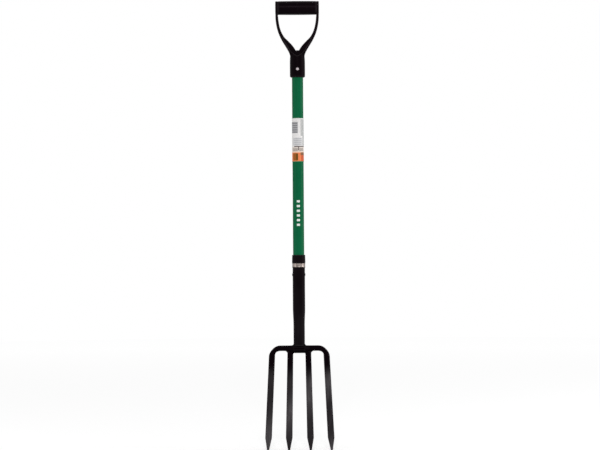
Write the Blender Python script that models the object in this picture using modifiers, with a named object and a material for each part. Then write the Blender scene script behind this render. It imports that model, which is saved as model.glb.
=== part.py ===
"""Digging fork: D-handle, tubular steel shaft, swaged socket and a welded head of four tines.

Working heights are measured up from the points of the tines. The finished assembly hangs from an
empty that puts the world's origin at the underside of the hand grip, where a hook carries the tool.
X runs across the tines, -Y is the front (hollow) side and +Z is up.
"""

import math

import bmesh
import bpy
from mathutils import Vector
from mathutils.geometry import interpolate_bezier

MM = 0.001

# Clearances
SEAT_GAP = 0.3 * MM
CUT_MARGIN = 4.0 * MM

# Facet counts
ROUND_STEPS = 40
SMALL_ROUND_STEPS = 20

# Overall heights above the tine points
TINE_HEIGHT = 279.0 * MM
SOCKET_LENGTH = 220.0 * MM
OVERALL_LENGTH = 1200.0 * MM

# Shaft tube
SHAFT_DIAMETER = 30.0 * MM
SHAFT_WALL = 1.5 * MM
SHAFT_IN_HANDLE = 46.0 * MM

# Socket, collar and ferrule ring
SOCKET_WALL = 1.2 * MM
NECK_DIAMETER = 30.2 * MM
NECK_LENGTH = 55.0 * MM
SWAGE_LENGTH = 45.0 * MM
RING_HEIGHT = 12.0 * MM
RING_WALL = 1.0 * MM
RING_EDGE_ROUND = 0.4 * MM
COLLAR_HEIGHT = 21.5 * MM
COLLAR_TOP_DIAMETER = 34.8 * MM
COLLAR_FOOT_DIAMETER = 36.0 * MM
COLLAR_EDGE_ROUND = 1.2 * MM

# Rivets
RIVET_SHANK_DIAMETER = 5.0 * MM
RIVET_HEAD_DIAMETER = 8.6 * MM
RIVET_HEAD_HEIGHT = 1.8 * MM
SOCKET_RIVET_BELOW_RING = 19.0 * MM
HANDLE_RIVET_ABOVE_RIM = 22.0 * MM

# Handle moulding
HANDLE_WIDTH = 116.6 * MM
HANDLE_SOCKET_DIAMETER = 40.6 * MM
HANDLE_SOCKET_LENGTH = 58.0 * MM
HANDLE_SOCKET_WAIST = 39.0 * MM
HANDLE_RIM_ROUND = 4.0 * MM
HANDLE_CROWN_HEIGHT = 15.2 * MM
HANDLE_HEIGHT = 204.8 * MM
EYE_THICKNESS = 7.2 * MM
EYE_DIAMETER = 36.4 * MM
EYE_EDGE_ROUND = 1.4 * MM
ARM_ROOT_X = 7.4 * MM
ARM_BEND_X = 34.1 * MM
ARM_BEND_HEIGHT = 99.0 * MM
ARM_BEND_LEAN = math.radians(38.0)
ARM_ROOT_PULL = 27.0 * MM
ARM_BEND_PULL_DOWN = 18.0 * MM
ARM_BEND_PULL_UP = 22.0 * MM
ARM_TOP_PULL = 36.0 * MM
ARM_ROOT_WIDTH = 20.4 * MM
ARM_BEND_WIDTH = 11.0 * MM
ARM_TOP_WIDTH = 6.8 * MM
ARM_ROOT_DEPTH = 12.0 * MM
ARM_NECK_DEPTH = 30.0 * MM
ARM_NECK_STATION = 5
ARM_BEND_DEPTH = 24.0 * MM
ARM_TOP_DEPTH = 27.0 * MM
ARM_TAPER_POWER = 5.0
ARM_CORNER = 1.6 * MM
ARM_STEPS = 11
RIM_WIDTH = 4.4 * MM
RIM_FIRST = 5
RIM_LAST = 12
RIM_RUN_OUT = 2.0 * MM
RIM_MEETING_DROP = 16.6 * MM
RIM_MEETING_SLOPE = math.radians(23.0)
RIM_MEETING_STEPS = 4
GUSSET_DEPTH = 14.0 * MM

# Hand grip on its cross tube
GRIP_DIAMETER = 37.2 * MM
GRIP_END_DIAMETER = 36.4 * MM
GRIP_EDGE_ROUND = 1.5 * MM
CORE_DIAMETER = 22.0 * MM
CORE_WALL = 2.0 * MM
CAP_FLANGE_DIAMETER = 25.0 * MM
CAP_FLANGE_THICKNESS = 1.8 * MM
CAP_PLUG_LENGTH = 9.0 * MM
CAP_EDGE_ROUND = 0.6 * MM

# Label wrapped on the shaft
LABEL_HEIGHT = 117.0 * MM
LABEL_BELOW_HANDLE = 108.0 * MM
LABEL_THICKNESS = 0.3 * MM
LABEL_GAP_AT_BACK = 9.0 * MM

# Outer tine bow
CROSSBAR_WIDTH = 14.4 * MM
OUTER_ROOT_WIDTH = 16.4 * MM
BEND_WIDTH = 13.0 * MM
BEND_RADIUS = 22.5 * MM
OUTER_ROOT_X = 73.2 * MM
OUTER_SPLAY = math.radians(2.7)
BEND_STEPS = 10
BOSS_DEPTH = 30.0 * MM
BOSS_HALF_WIDTH = 15.0 * MM
BOSS_BLEND = 13.0 * MM

# Inner tine bow
BRIDGE_HEIGHT = 5.6 * MM
INNER_ROOT_WIDTH = 15.6 * MM
INNER_ROOT_X = 24.1 * MM
INNER_SPLAY = math.radians(1.1)
INNER_CORNER = 2.0 * MM

# Shape that all the tines share
TINE_DEPTH = 11.0 * MM
SHOULDER_DEPTH = 7.5 * MM
SHOULDER_WIDTH = 17.7 * MM
POINT_LENGTH = 34.0 * MM
POINT_WIDTH = 5.4 * MM
POINT_DEPTH = 3.0 * MM
POINT_NOSE = 2.0 * MM
FRONT_CHAMFER_SHARE = 0.26
FRONT_CHAMFER_DEPTH_SHARE = 0.30
BACK_CHAMFER_SHARE = 0.12
TINE_STEPS = 8
DISH = 30.0 * MM

# Weld beads
NECK_WELD_LEG = 4.5 * MM
NECK_WELD_SPREAD = math.radians(50.0)
NECK_WELD_STEPS = 8
INNER_WELD_LEG = 5.0 * MM
INNER_WELD_LENGTH = 7.0 * MM
WELD_TOE_SHARE = 0.12
WELD_THROAT_SHARE = 0.36
WELD_ARC_STEPS = 5

# Places worked out from the sizes above
socket_bore = SHAFT_DIAMETER + 2 * SEAT_GAP
socket_diameter = socket_bore + 2 * SOCKET_WALL
socket_foot = TINE_HEIGHT + SEAT_GAP
socket_mouth = socket_foot + SOCKET_LENGTH
swage_foot = socket_foot + NECK_LENGTH
swage_top = swage_foot + SWAGE_LENGTH
collar_foot = socket_mouth + SEAT_GAP
ring_foot = socket_mouth - RING_HEIGHT
handle_rim = OVERALL_LENGTH - HANDLE_HEIGHT
grip_axis = OVERALL_LENGTH - GRIP_DIAMETER / 2
hang_height = grip_axis - GRIP_DIAMETER / 2
shaft_foot = swage_top + SEAT_GAP
shaft_top = handle_rim + SHAFT_IN_HANDLE
eye_outer_x = HANDLE_WIDTH / 2
eye_inner_x = eye_outer_x - EYE_THICKNESS
crossbar_under = TINE_HEIGHT - CROSSBAR_WIDTH
bend_centre = Vector((OUTER_ROOT_X - BEND_RADIUS, TINE_HEIGHT - CROSSBAR_WIDTH / 2 - BEND_RADIUS))


def clear_scene():
    """Empties the scene and its meshes' collections."""
    for item in list(bpy.data.objects):
        bpy.data.objects.remove(item)


def collection_named(name):
    """A new collection linked to the scene."""
    made = bpy.data.collections.new(name)
    bpy.context.scene.collection.children.link(made)
    return made


def finish_of(name, colour, roughness, metallic=0.0):
    """A Principled material of one colour."""
    made = bpy.data.materials.new(name)
    made.use_nodes = True
    shader = made.node_tree.nodes["Principled BSDF"]
    shader.inputs["Base Color"].default_value = (*colour, 1.0)
    shader.inputs["Roughness"].default_value = roughness
    shader.inputs["Metallic"].default_value = metallic
    return made


clear_scene()
fork_parts = collection_named("digging_fork")
cutters = collection_named("cutters")
green_paint = finish_of("green_paint", (0.010, 0.115, 0.050), 0.35)
black_paint = finish_of("black_paint", (0.012, 0.011, 0.011), 0.40)
black_plastic = finish_of("black_plastic", (0.012, 0.011, 0.012), 0.50)
black_rubber = finish_of("black_rubber", (0.016, 0.015, 0.016), 0.60)
bare_steel = finish_of("bare_steel", (0.52, 0.49, 0.48), 0.32, 1.0)
white_label = finish_of("white_label", (0.75, 0.75, 0.74), 0.45)

fork_frame = bpy.data.objects.new("fork_frame", None)
fork_frame.location = (0.0, 0.0, -hang_height)
fork_parts.objects.link(fork_frame)


def placed(name, mesh, finish, location=(0, 0, 0), rotation=(0, 0, 0)):
    """A piece of the fork, parented to its frame."""
    piece = bpy.data.objects.new(name, mesh)
    fork_parts.objects.link(piece)
    piece.parent = fork_frame
    piece.location = location
    piece.rotation_euler = rotation
    if finish:
        mesh.materials.append(finish)
    return piece


def as_cutter(piece):
    """Turns a piece into a cutter that only Booleans see."""
    fork_parts.objects.unlink(piece)
    cutters.objects.link(piece)
    piece.hide_render = True
    piece.display_type = "WIRE"
    return piece


def cut(piece, cutter, operation="DIFFERENCE"):
    """Adds a Boolean of this cutter to a piece."""
    step = piece.modifiers.new(cutter.name, "BOOLEAN")
    step.object = cutter
    step.operation = operation


def profile_mesh(name, points, closed):
    """A profile of (radius, height) points, joined in order by edges."""
    bm = bmesh.new()
    corners = [bm.verts.new((radius, 0.0, height)) for radius, height in points]
    for first, second in zip(corners, corners[1:]):
        bm.edges.new((first, second))
    if closed:
        bm.edges.new((corners[-1], corners[0]))
    mesh = bpy.data.meshes.new(name)
    bm.to_mesh(mesh)
    bm.free()
    return mesh


def turned(name, points, finish, closed=True, steps=ROUND_STEPS, sweep=2 * math.pi, **place):
    """A shape turned about its own Z axis from a profile that runs down its outer side."""
    piece = placed(name, profile_mesh(name, points, closed), finish, **place)
    screw = piece.modifiers.new("turn", "SCREW")
    screw.angle = sweep
    screw.steps = steps
    screw.render_steps = steps
    screw.use_merge_vertices = True
    screw.merge_threshold = 0.00001
    screw.use_smooth_shade = True
    return piece


def part_turned(name, points, finish, sweep, middle, steps, height=0.0):
    """A closed profile turned about Z through part of a circle centred on an angle, with filled ends."""
    mesh = profile_mesh(name, points, True)
    bm = bmesh.new()
    bm.from_mesh(mesh)
    whole = bm.edges[:] + bm.verts[:]
    bmesh.ops.spin(bm, geom=whole, cent=(0, 0, 0), axis=(0, 0, 1), angle=sweep, steps=steps)
    ends = [edge for edge in bm.edges if len(edge.link_faces) == 1]
    bmesh.ops.holes_fill(bm, edges=ends, sides=len(points))
    bmesh.ops.recalc_face_normals(bm, faces=bm.faces)
    bm.to_mesh(mesh)
    bm.free()
    return placed(name, mesh, finish, (0, 0, height), (0, 0, middle - sweep / 2))


def quarter(centre_radius, centre_height, size, start, end, steps=4):
    """Points of a rounded profile corner, between two angles in degrees."""
    found = []
    for step in range(steps + 1):
        angle = math.radians(start + (end - start) * step / steps)
        found.append((centre_radius + size * math.cos(angle), centre_height + size * math.sin(angle)))
    return found


def rod_cutter(name, radius, length, location, rotation):
    """A round cutter centred on its location."""
    bm = bmesh.new()
    bmesh.ops.create_cone(
        bm, cap_ends=True, segments=SMALL_ROUND_STEPS, radius1=radius, radius2=radius, depth=length
    )
    mesh = bpy.data.meshes.new(name)
    bm.to_mesh(mesh)
    bm.free()
    return as_cutter(placed(name, mesh, None, location, rotation))


FRONT = -math.pi / 2
ALONG_X = (0.0, math.pi / 2, 0.0)
ALONG_Y = (math.pi / 2, 0.0, 0.0)
FACING_LEFT = (0.0, -math.pi / 2, 0.0)
shank_hole = RIVET_SHANK_DIAMETER / 2 + SEAT_GAP
socket_rivet_height = ring_foot - SOCKET_RIVET_BELOW_RING
handle_rivet_height = handle_rim + HANDLE_RIVET_ABOVE_RIM
socket_rivet_hole = rod_cutter(
    "socket_rivet_hole", shank_hole, 2 * socket_diameter, (0, 0, socket_rivet_height), ALONG_X
)
handle_rivet_hole = rod_cutter(
    "handle_rivet_hole", shank_hole, 2 * HANDLE_SOCKET_DIAMETER, (0, 0, handle_rivet_height), ALONG_Y
)


def make_shaft():
    """Powder-coated steel tube, drilled for both rivets."""
    outer = SHAFT_DIAMETER / 2
    inner = outer - SHAFT_WALL
    ring = [(outer, shaft_top), (outer, shaft_foot), (inner, shaft_foot), (inner, shaft_top)]
    tube = turned("shaft_tube", ring, green_paint)
    cut(tube, socket_rivet_hole)
    cut(tube, handle_rivet_hole)


def make_socket():
    """Steel tube socket, swaged down to the neck that stands on the crossbar."""
    outer = socket_diameter / 2
    inner = socket_bore / 2
    neck = NECK_DIAMETER / 2
    points = [
        (outer, socket_mouth),
        (outer, swage_top),
        (neck, swage_foot),
        (neck, socket_foot),
        (neck - SOCKET_WALL, socket_foot),
        (neck - SOCKET_WALL, swage_foot),
        (inner, swage_top),
        (inner, socket_mouth),
    ]
    cut(turned("socket_tube", points, black_paint), socket_rivet_hole)


def make_ring_and_collar():
    """Bare steel ferrule ring round the socket's mouth, and the plastic collar that sits on the mouth."""
    inner = socket_diameter / 2 + SEAT_GAP
    outer = inner + RING_WALL
    top = quarter(outer - RING_EDGE_ROUND, socket_mouth - RING_EDGE_ROUND, RING_EDGE_ROUND, 90, 0)
    foot = quarter(outer - RING_EDGE_ROUND, ring_foot + RING_EDGE_ROUND, RING_EDGE_ROUND, 0, -90)
    turned("ferrule_ring", top + foot + [(inner, ring_foot), (inner, socket_mouth)], bare_steel)
    bore = socket_bore / 2
    collar_top = collar_foot + COLLAR_HEIGHT
    rim = COLLAR_TOP_DIAMETER / 2 - COLLAR_EDGE_ROUND
    points = quarter(rim, collar_top - COLLAR_EDGE_ROUND, COLLAR_EDGE_ROUND, 90, 0)
    points += [(COLLAR_FOOT_DIAMETER / 2, collar_foot), (bore, collar_foot), (bore, collar_top)]
    turned("socket_collar", points, black_plastic)


def make_rivet(name, grip, height, rotation, finish):
    """Solid rivet with a domed head at each end of the material that it holds."""
    face = grip / 2 + SEAT_GAP
    head = RIVET_HEAD_DIAMETER / 2
    shank = RIVET_SHANK_DIAMETER / 2
    dome = [
        (head * math.sin(math.radians(angle)), face + RIVET_HEAD_HEIGHT * math.cos(math.radians(angle)))
        for angle in (0, 30, 55, 75, 90)
    ]
    half = dome + [(shank, face)]
    points = half + [(radius, -along) for radius, along in reversed(half)]
    place = {"location": (0, 0, height), "rotation": rotation}
    turned(name, points, finish, closed=False, steps=SMALL_ROUND_STEPS, **place)


def loft(name, rings, finish):
    """Skins a row of rings, each a closed loop of as many points, and caps its two ends."""
    bm = bmesh.new()
    loops = [[bm.verts.new(point) for point in ring] for ring in rings]
    for first, second in zip(loops, loops[1:]):
        for index in range(len(first)):
            after = (index + 1) % len(first)
            bm.faces.new((first[index], first[after], second[after], second[index]))
    bm.faces.new(loops[0])
    bm.faces.new(reversed(loops[-1]))
    bmesh.ops.recalc_face_normals(bm, faces=bm.faces)
    mesh = bpy.data.meshes.new(name)
    bm.to_mesh(mesh)
    bm.free()
    return placed(name, mesh, finish)


def dish_at(height):
    """How far forward the dished tines stand at a height."""
    drop = max(0.0, crossbar_under - height) / crossbar_under
    return -DISH * drop * drop


def bar_ring(inner, outer, depth):
    """Eight-sided section between two points of the front view, flat behind and bevelled in front."""
    across = outer - inner
    front_in = FRONT_CHAMFER_SHARE
    front_cut = FRONT_CHAMFER_DEPTH_SHARE * min(depth, TINE_DEPTH)
    back_in = BACK_CHAMFER_SHARE
    back_cut = BACK_CHAMFER_SHARE * min(depth, TINE_DEPTH)
    shape = [
        (0.0, -depth / 2 + front_cut),
        (front_in, -depth / 2),
        (1 - front_in, -depth / 2),
        (1.0, -depth / 2 + front_cut),
        (1.0, depth / 2 - back_cut),
        (1 - back_in, depth / 2),
        (back_in, depth / 2),
        (0.0, depth / 2 - back_cut),
    ]
    ring = []
    for share, forward in shape:
        place = inner + across * share
        ring.append((place.x, forward + dish_at(place.y), place.y))
    return ring


def leg_rings(root_x, root_height, root_width, splay):
    """Sections of one tine, from under its root to its point."""
    shoulder = POINT_LENGTH
    rings = []
    for step in range(1, TINE_STEPS + 1):
        share = step / TINE_STEPS
        height = root_height + (shoulder - root_height) * share
        width = root_width + (SHOULDER_WIDTH - root_width) * share
        depth = TINE_DEPTH + (SHOULDER_DEPTH - TINE_DEPTH) * share
        rings.append((height, width, depth))
    rings.append((POINT_NOSE, POINT_WIDTH, POINT_DEPTH))
    rings.append((0.0, POINT_WIDTH / 2, POINT_DEPTH / 2))
    made = []
    for height, width, depth in rings:
        middle = root_x + (root_height - height) * math.tan(splay)
        inner = Vector((middle - width / 2, height))
        outer = Vector((middle + width / 2, height))
        made.append(bar_ring(inner, outer, depth))
    return made


def mirrored(rings):
    """The same rings on the other side of the middle plane, from the point up."""
    return [[(-x, y, z) for x, y, z in ring] for ring in reversed(rings)]


def make_outer_bow():
    """One bar bent into the crossbar and the two outer tines, with a forged boss under the neck."""
    half = []
    for x, depth in ((BOSS_HALF_WIDTH, BOSS_DEPTH), (BOSS_HALF_WIDTH + BOSS_BLEND, TINE_DEPTH)):
        half.append(bar_ring(Vector((x, crossbar_under)), Vector((x, TINE_HEIGHT)), depth))
    turn = math.pi / 2 - OUTER_SPLAY
    for step in range(BEND_STEPS + 1):
        share = step / BEND_STEPS
        width = CROSSBAR_WIDTH + (OUTER_ROOT_WIDTH - CROSSBAR_WIDTH) * share
        pinch = math.sin(math.pi * share) ** 2
        width += (BEND_WIDTH - width) * pinch
        out = Vector((math.sin(turn * share), math.cos(turn * share)))
        inner = bend_centre + out * (BEND_RADIUS - width / 2)
        outer = bend_centre + out * (BEND_RADIUS + width / 2)
        half.append(bar_ring(inner, outer, TINE_DEPTH))
    root_x = bend_centre.x + BEND_RADIUS * math.sin(turn)
    root_height = bend_centre.y + BEND_RADIUS * math.cos(turn)
    half += leg_rings(root_x, root_height, OUTER_ROOT_WIDTH, OUTER_SPLAY)
    loft("outer_tine_bow", mirrored(half) + half, black_paint)


def make_inner_bow():
    """Second bar, nested under the crossbar, that carries the two inner tines."""
    top = crossbar_under - SEAT_GAP
    under = top - BRIDGE_HEIGHT
    near = INNER_ROOT_X - INNER_ROOT_WIDTH / 2
    far = INNER_ROOT_X + INNER_ROOT_WIDTH / 2
    half = [
        bar_ring(Vector((near - INNER_CORNER, under)), Vector((near - INNER_CORNER, top)), TINE_DEPTH),
        bar_ring(Vector((near, under - INNER_CORNER)), Vector((far, top)), TINE_DEPTH),
    ]
    root_height = under - 2 * INNER_CORNER
    half.append(bar_ring(Vector((near, root_height)), Vector((far, root_height)), TINE_DEPTH))
    half += leg_rings(INNER_ROOT_X, root_height, INNER_ROOT_WIDTH, INNER_SPLAY)
    loft("inner_tine_bow", mirrored(half) + half, black_paint)


def fillet_points(leg):
    """Outline of a slightly hollow weld fillet in a corner at its own origin, open towards +X and +Y."""
    toe = WELD_TOE_SHARE * leg
    middle = WELD_THROAT_SHARE * leg
    points = [(0.0, 0.0), (leg, 0.0)]
    for step in range(WELD_ARC_STEPS + 1):
        share = step / WELD_ARC_STEPS
        start = (1 - share) ** 2
        bulge = 2 * share * (1 - share)
        end = share * share
        points.append((start * leg + bulge * middle + end * toe, start * toe + bulge * middle + end * leg))
    return points + [(0.0, leg)]


def make_under_weld(name, leg, length, corner_x, corner_z, side):
    """A weld bead lying along Y in the corner between an upright face and the underside of a bar."""
    curve = bpy.data.curves.new(name, "CURVE")
    curve.dimensions = "2D"
    curve.fill_mode = "BOTH"
    curve.extrude = length / 2
    spline = curve.splines.new("POLY")
    points = fillet_points(leg)
    spline.points.add(len(points) - 1)
    for point, (across, up) in zip(spline.points, points):
        point.co = (side * across, -up, 0.0, 1.0)
    spline.use_cyclic_u = True
    curve.materials.append(black_paint)
    bead = bpy.data.objects.new(name, curve)
    fork_parts.objects.link(bead)
    bead.parent = fork_frame
    bead.location = (corner_x, 0.0, corner_z)
    bead.rotation_euler = ALONG_Y


def make_welds():
    """Beads round the sides of the neck on the crossbar, and under the crossbar outside the inner tines."""
    neck = NECK_DIAMETER / 2 + SEAT_GAP
    bead = [(neck + across, up) for across, up in fillet_points(NECK_WELD_LEG)]
    over = TINE_HEIGHT + SEAT_GAP
    under = crossbar_under - SEAT_GAP
    for side, word, middle in ((-1, "left", math.pi), (1, "right", 0.0)):
        part_turned(
            f"neck_weld_{word}", bead, black_paint, NECK_WELD_SPREAD, middle, NECK_WELD_STEPS, over
        )
        root_x = side * (INNER_ROOT_X + INNER_ROOT_WIDTH / 2 + SEAT_GAP)
        make_under_weld(f"inner_weld_{word}", INNER_WELD_LEG, INNER_WELD_LENGTH, root_x, under, side)


def arm_stations():
    """Centre, direction, width and depth of a handle arm, from inside the socket up to its eye."""
    root = Vector((ARM_ROOT_X, 0, handle_rim + HANDLE_SOCKET_LENGTH - HANDLE_CROWN_HEIGHT))
    bend = Vector((ARM_BEND_X, 0, handle_rim + ARM_BEND_HEIGHT))
    top = Vector((eye_outer_x - EYE_THICKNESS / 2, 0, grip_axis - CORE_DIAMETER / 2))
    lean = Vector((math.sin(ARM_BEND_LEAN), 0, math.cos(ARM_BEND_LEAN)))
    up = Vector((0, 0, 1))
    lower = interpolate_bezier(
        root, root + up * ARM_ROOT_PULL, bend - lean * ARM_BEND_PULL_DOWN, bend, ARM_STEPS
    )
    upper = interpolate_bezier(bend, bend + lean * ARM_BEND_PULL_UP, top - up * ARM_TOP_PULL, top, ARM_STEPS)
    path = lower + upper[1:]
    stations = []
    for index, centre in enumerate(path):
        before = path[max(index - 1, 0)]
        after = path[min(index + 1, len(path) - 1)]
        along = (after - before).normalized()
        share = index / (ARM_STEPS - 1)
        if share <= 1:
            width = ARM_ROOT_WIDTH + (ARM_BEND_WIDTH - ARM_ROOT_WIDTH) * share ** 1.5
        else:
            width = ARM_TOP_WIDTH + (ARM_BEND_WIDTH - ARM_TOP_WIDTH) * (2 - share) ** ARM_TAPER_POWER
        if index < ARM_NECK_STATION:
            depth = ARM_ROOT_DEPTH + (ARM_NECK_DEPTH - ARM_ROOT_DEPTH) * index / ARM_NECK_STATION
        elif share <= 1:
            fall = (index - ARM_NECK_STATION) / (ARM_STEPS - 1 - ARM_NECK_STATION)
            depth = ARM_NECK_DEPTH + (ARM_BEND_DEPTH - ARM_NECK_DEPTH) * fall
        else:
            depth = ARM_BEND_DEPTH + (ARM_TOP_DEPTH - ARM_BEND_DEPTH) * (share - 1)
        stations.append((centre, Vector((along.z, 0, -along.x)), width, depth))
    return stations


def arm_ring(station, side):
    """Rounded rectangle across an arm."""
    centre, out, width, depth = station
    corner = min(ARM_CORNER, 0.4 * width)
    ring = []
    for across, back, start in ((1, 1, 0), (-1, 1, 90), (-1, -1, 180), (1, -1, 270)):
        middle_u = across * (width / 2 - corner)
        middle_v = back * (depth / 2 - corner)
        for u, v in quarter(middle_u, middle_v, corner, start, start + 90, 3):
            place = centre + out * u
            ring.append((side * place.x, v, place.z))
    return ring


def gusset_cutter(name, stations, face):
    """Cuts one face of the arms' fork back to its gusset web, inside a rim along each arm's outer edge.

    The two rims meet on the socket in a curved V, and each runs out through its arm's inner edge.
    """
    edge = []
    for centre, out, width, depth in stations[RIM_FIRST:RIM_LAST]:
        place = centre + out * (width / 2 - RIM_WIDTH)
        edge.append((place.x, place.z))
    centre, out, width, depth = stations[RIM_LAST]
    leave = centre - out * (width / 2 + RIM_RUN_OUT)
    edge.append((leave.x, leave.z))
    reach, height = edge[0]
    slope = math.tan(RIM_MEETING_SLOPE)
    curl = (RIM_MEETING_DROP - slope * reach) / reach ** 2
    meeting = []
    for step in range(RIM_MEETING_STEPS):
        x = reach * step / RIM_MEETING_STEPS
        meeting.append((x, height - RIM_MEETING_DROP + slope * x + curl * x * x))
    half = meeting + edge
    outline = half + [(-x, z) for x, z in reversed(half[1:])]
    near = face * GUSSET_DEPTH / 2
    far = face * (ARM_NECK_DEPTH + CUT_MARGIN)
    return as_cutter(loft(name, [[(x, y, z) for x, z in outline] for y in (near, far)], None))


def rounded_disc(radius, low, high, size):
    """Profile of a disc with both rims rounded."""
    points = [(0.0, high)] + quarter(radius - size, high - size, size, 90, 0)
    return points + quarter(radius - size, low + size, size, 0, -90) + [(0.0, low)]


def make_handle():
    """Moulded D-handle: round socket, two rimmed arms joined by a gusset, and an eye at the top of each."""
    rim = HANDLE_SOCKET_DIAMETER / 2
    waist = HANDLE_SOCKET_WAIST / 2
    shoulder = handle_rim + HANDLE_SOCKET_LENGTH
    points = [(0.0, shoulder + HANDLE_CROWN_HEIGHT)]
    for angle in (70, 45, 20, 0):
        lift = HANDLE_CROWN_HEIGHT * math.sin(math.radians(angle))
        points.append((waist * math.cos(math.radians(angle)), shoulder + lift))
    points.append((rim, shoulder - HANDLE_CROWN_HEIGHT))
    points += quarter(rim - HANDLE_RIM_ROUND, handle_rim + HANDLE_RIM_ROUND, HANDLE_RIM_ROUND, 0, -90)
    points.append((0.0, handle_rim))
    body = turned("handle_body", points, black_plastic, closed=False)
    stations = arm_stations()
    for side, word in ((-1, "left"), (1, "right")):
        arm = as_cutter(loft(f"arm_{word}", [arm_ring(station, side) for station in stations], None))
        cut(body, arm, "UNION")
        eye_disc = rounded_disc(EYE_DIAMETER / 2, -EYE_THICKNESS / 2, EYE_THICKNESS / 2, EYE_EDGE_ROUND)
        eye = turned(
            f"eye_{word}",
            eye_disc,
            None,
            closed=False,
            location=(side * (eye_outer_x - EYE_THICKNESS / 2), 0, grip_axis),
            rotation=ALONG_X,
        )
        cut(body, as_cutter(eye), "UNION")
    cut(body, gusset_cutter("gusset_front", stations, -1))
    cut(body, gusset_cutter("gusset_back", stations, 1))
    bore_length = SHAFT_IN_HANDLE + SEAT_GAP + CUT_MARGIN
    bore_middle = handle_rim - CUT_MARGIN + bore_length / 2
    cut(body, rod_cutter("shaft_bore", socket_bore / 2, bore_length, (0, 0, bore_middle), (0, 0, 0)))
    cut(body, handle_rivet_hole)
    core_bore = CORE_DIAMETER / 2 + SEAT_GAP
    cap_bore = CAP_FLANGE_DIAMETER / 2 + SEAT_GAP
    step = eye_outer_x - CAP_FLANGE_THICKNESS - SEAT_GAP
    past = eye_outer_x + CUT_MARGIN
    half = [(0.0, past), (cap_bore, past), (cap_bore, step), (core_bore, step)]
    points = half + [(radius, -along) for radius, along in reversed(half)]
    eye_bore = turned(
        "eye_bore", points, None, closed=False, location=(0, 0, grip_axis), rotation=ALONG_X
    )
    cut(body, as_cutter(eye_bore))


def make_grip():
    """Soft barrel grip on a steel cross tube, whose ends are closed by two plugs in the eyes."""
    reach = eye_inner_x - SEAT_GAP
    bore = CORE_DIAMETER / 2 + SEAT_GAP
    swell = (GRIP_DIAMETER - GRIP_END_DIAMETER) / 2
    end = GRIP_END_DIAMETER / 2 - GRIP_EDGE_ROUND
    points = quarter(end, reach - GRIP_EDGE_ROUND, GRIP_EDGE_ROUND, 90, 0)
    for share in (0.6, 0.3, 0.0, -0.3, -0.6):
        points.append((GRIP_END_DIAMETER / 2 + swell * math.cos(share * math.pi / 2), share * reach))
    points += quarter(end, GRIP_EDGE_ROUND - reach, GRIP_EDGE_ROUND, 0, -90)
    points += [(bore, -reach), (bore, reach)]
    turned("grip_sleeve", points, black_rubber, location=(0, 0, grip_axis), rotation=ALONG_X)
    core_end = eye_outer_x - CAP_FLANGE_THICKNESS - 2 * SEAT_GAP
    outer = CORE_DIAMETER / 2
    inner = outer - CORE_WALL
    tube = [(outer, core_end), (outer, -core_end), (inner, -core_end), (inner, core_end)]
    turned("grip_core_tube", tube, bare_steel, location=(0, 0, grip_axis), rotation=ALONG_X)
    flange_low = eye_outer_x - CAP_FLANGE_THICKNESS
    flange = CAP_FLANGE_DIAMETER / 2
    plug = inner - SEAT_GAP
    cap = [(0.0, eye_outer_x)]
    cap += quarter(flange - CAP_EDGE_ROUND, eye_outer_x - CAP_EDGE_ROUND, CAP_EDGE_ROUND, 90, 0)
    cap += [(flange, flange_low), (plug, flange_low), (plug, flange_low - CAP_PLUG_LENGTH)]
    cap.append((0.0, flange_low - CAP_PLUG_LENGTH))
    for facing, word in ((FACING_LEFT, "left"), (ALONG_X, "right")):
        place = {"location": (0, 0, grip_axis), "rotation": facing}
        turned(f"grip_cap_{word}", cap, black_plastic, closed=False, **place)


def make_label():
    """Printed film wrapped round the shaft, with its two edges short of meeting at the back."""
    inner = SHAFT_DIAMETER / 2 + SEAT_GAP
    outer = inner + LABEL_THICKNESS
    top = handle_rim - LABEL_BELOW_HANDLE
    foot = top - LABEL_HEIGHT
    ring = [(outer, top), (outer, foot), (inner, foot), (inner, top)]
    around = 2 * math.pi - LABEL_GAP_AT_BACK / outer
    part_turned("label_wrap", ring, white_label, around, FRONT, ROUND_STEPS)


make_shaft()
make_socket()
make_ring_and_collar()
make_rivet("socket_rivet", socket_diameter, socket_rivet_height, ALONG_X, black_paint)
make_rivet("handle_rivet", HANDLE_SOCKET_DIAMETER, handle_rivet_height, ALONG_Y, bare_steel)
make_outer_bow()
make_inner_bow()
make_welds()
make_handle()
make_grip()
make_label()
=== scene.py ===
import math

import bmesh
import bpy
from mathutils import Matrix, Vector


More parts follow.
